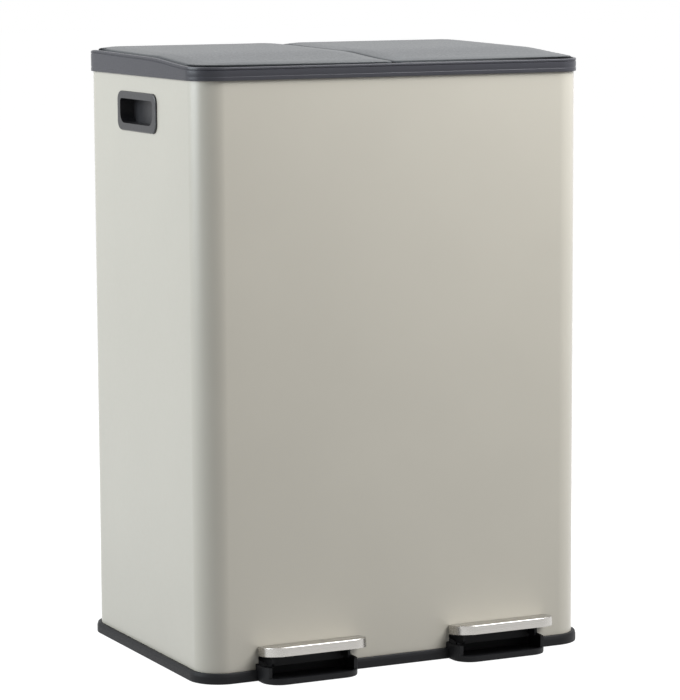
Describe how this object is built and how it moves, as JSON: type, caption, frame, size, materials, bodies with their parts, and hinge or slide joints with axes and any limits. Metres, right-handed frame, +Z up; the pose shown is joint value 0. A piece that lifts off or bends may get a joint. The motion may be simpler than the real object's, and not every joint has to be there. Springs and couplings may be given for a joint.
{
  "type": "double recycling bin",
  "caption": "Tall two-compartment pedal bin: painted sheet wrap, moulded base and rim, crowned side-by-side lids, inner buckets, and a steel-capped pedal for each lid.",
  "frame": {"origin": "centre of the footprint on the floor, pedals included", "axes": "+Z up, -Y to the front where the pedals are, +X to the right of someone who faces the front"},
  "size_m": [0.456, 0.347, 0.6467],
  "materials": {
    "warm_putty_paint": "satin powder coat",
    "black_plastic": "satin",
    "rim_plastic": "satin",
    "lid_plastic": "satin",
    "grey_plastic": "fine texture",
    "brushed_steel": "brushed along its length",
    "plated_steel": "zinc plated",
    "rubber": "matte"
  },
  "bodies": {
    "bin": {"outer_shell": "warm_putty_paint", "base": "black_plastic", "top_rim": "rim_plastic", "foot_1": "rubber", "foot_2": "rubber", "foot_3": "rubber", "foot_4": "rubber", "lid_bumper_1": "rubber", "lid_bumper_2": "rubber", "lid_bumper_3": "rubber", "lid_bumper_4": "rubber", "left_grip": "black_plastic", "left_bucket": "grey_plastic", "left_rod_cover": "grey_plastic", "left_axle": "plated_steel", "left_axle_clip_1": "plated_steel", "left_axle_clip_2": "plated_steel", "left_hinge_pin_1": "plated_steel", "left_hinge_pin_2": "plated_steel", "right_grip": "black_plastic", "right_bucket": "grey_plastic", "right_rod_cover": "grey_plastic", "right_axle": "plated_steel", "right_axle_clip_1": "plated_steel", "right_axle_clip_2": "plated_steel", "right_hinge_pin_1": "plated_steel", "right_hinge_pin_2": "plated_steel"},
    "left_lid_body": {"left_lid": "lid_plastic", "left_lid_liner": "grey_plastic", "left_crank": "plated_steel", "left_crank_screw_1": "plated_steel", "left_crank_screw_2": "plated_steel"},
    "left_rod_body": {"left_push_rod": "plated_steel"},
    "left_pedal_body": {"left_pedal_arm": "black_plastic", "left_pedal_cap": "brushed_steel", "left_lever": "plated_steel"},
    "right_lid_body": {"right_lid": "lid_plastic", "right_lid_liner": "grey_plastic", "right_crank": "plated_steel", "right_crank_screw_1": "plated_steel", "right_crank_screw_2": "plated_steel"},
    "right_rod_body": {"right_push_rod": "plated_steel"},
    "right_pedal_body": {"right_pedal_arm": "black_plastic", "right_pedal_cap": "brushed_steel", "right_lever": "plated_steel"}
  },
  "joints": [
    {"name": "left_lid_hinge", "type": "hinge", "parent": "bin", "child": "left_lid_body", "pos_m": [-0.1115, 0.1555, 0.6357], "axis": [-1, 0, 0], "range_deg": [0, 75]},
    {"name": "left_rod_slide", "type": "slide", "parent": "bin", "child": "left_rod_body", "axis": [0, 0, 1], "range_m": [0, 0.022]},
    {"name": "left_pedal_hinge", "type": "hinge", "parent": "bin", "child": "left_pedal_body", "pos_m": [-0.1115, -0.0655, 0.023], "axis": [1, 0, 0], "range_deg": [0, 6.2]},
    {"name": "right_lid_hinge", "type": "hinge", "parent": "bin", "child": "right_lid_body", "pos_m": [0.1115, 0.1555, 0.6357], "axis": [-1, 0, 0], "range_deg": [0, 75]},
    {"name": "right_rod_slide", "type": "slide", "parent": "bin", "child": "right_rod_body", "axis": [0, 0, 1], "range_m": [0, 0.022]},
    {"name": "right_pedal_hinge", "type": "hinge", "parent": "bin", "child": "right_pedal_body", "pos_m": [0.1115, -0.0655, 0.023], "axis": [1, 0, 0], "range_deg": [0, 6.2]}
  ],
  "couplings": [
    {"joint": "left_rod_slide", "follows": "left_lid_hinge", "m_per_rad": 0.016788},
    {"joint": "left_pedal_hinge", "follows": "left_lid_hinge", "ratio": 0.0819},
    {"joint": "right_rod_slide", "follows": "right_lid_hinge", "m_per_rad": 0.016788},
    {"joint": "right_pedal_hinge", "follows": "right_lid_hinge", "ratio": 0.0819}
  ]
}
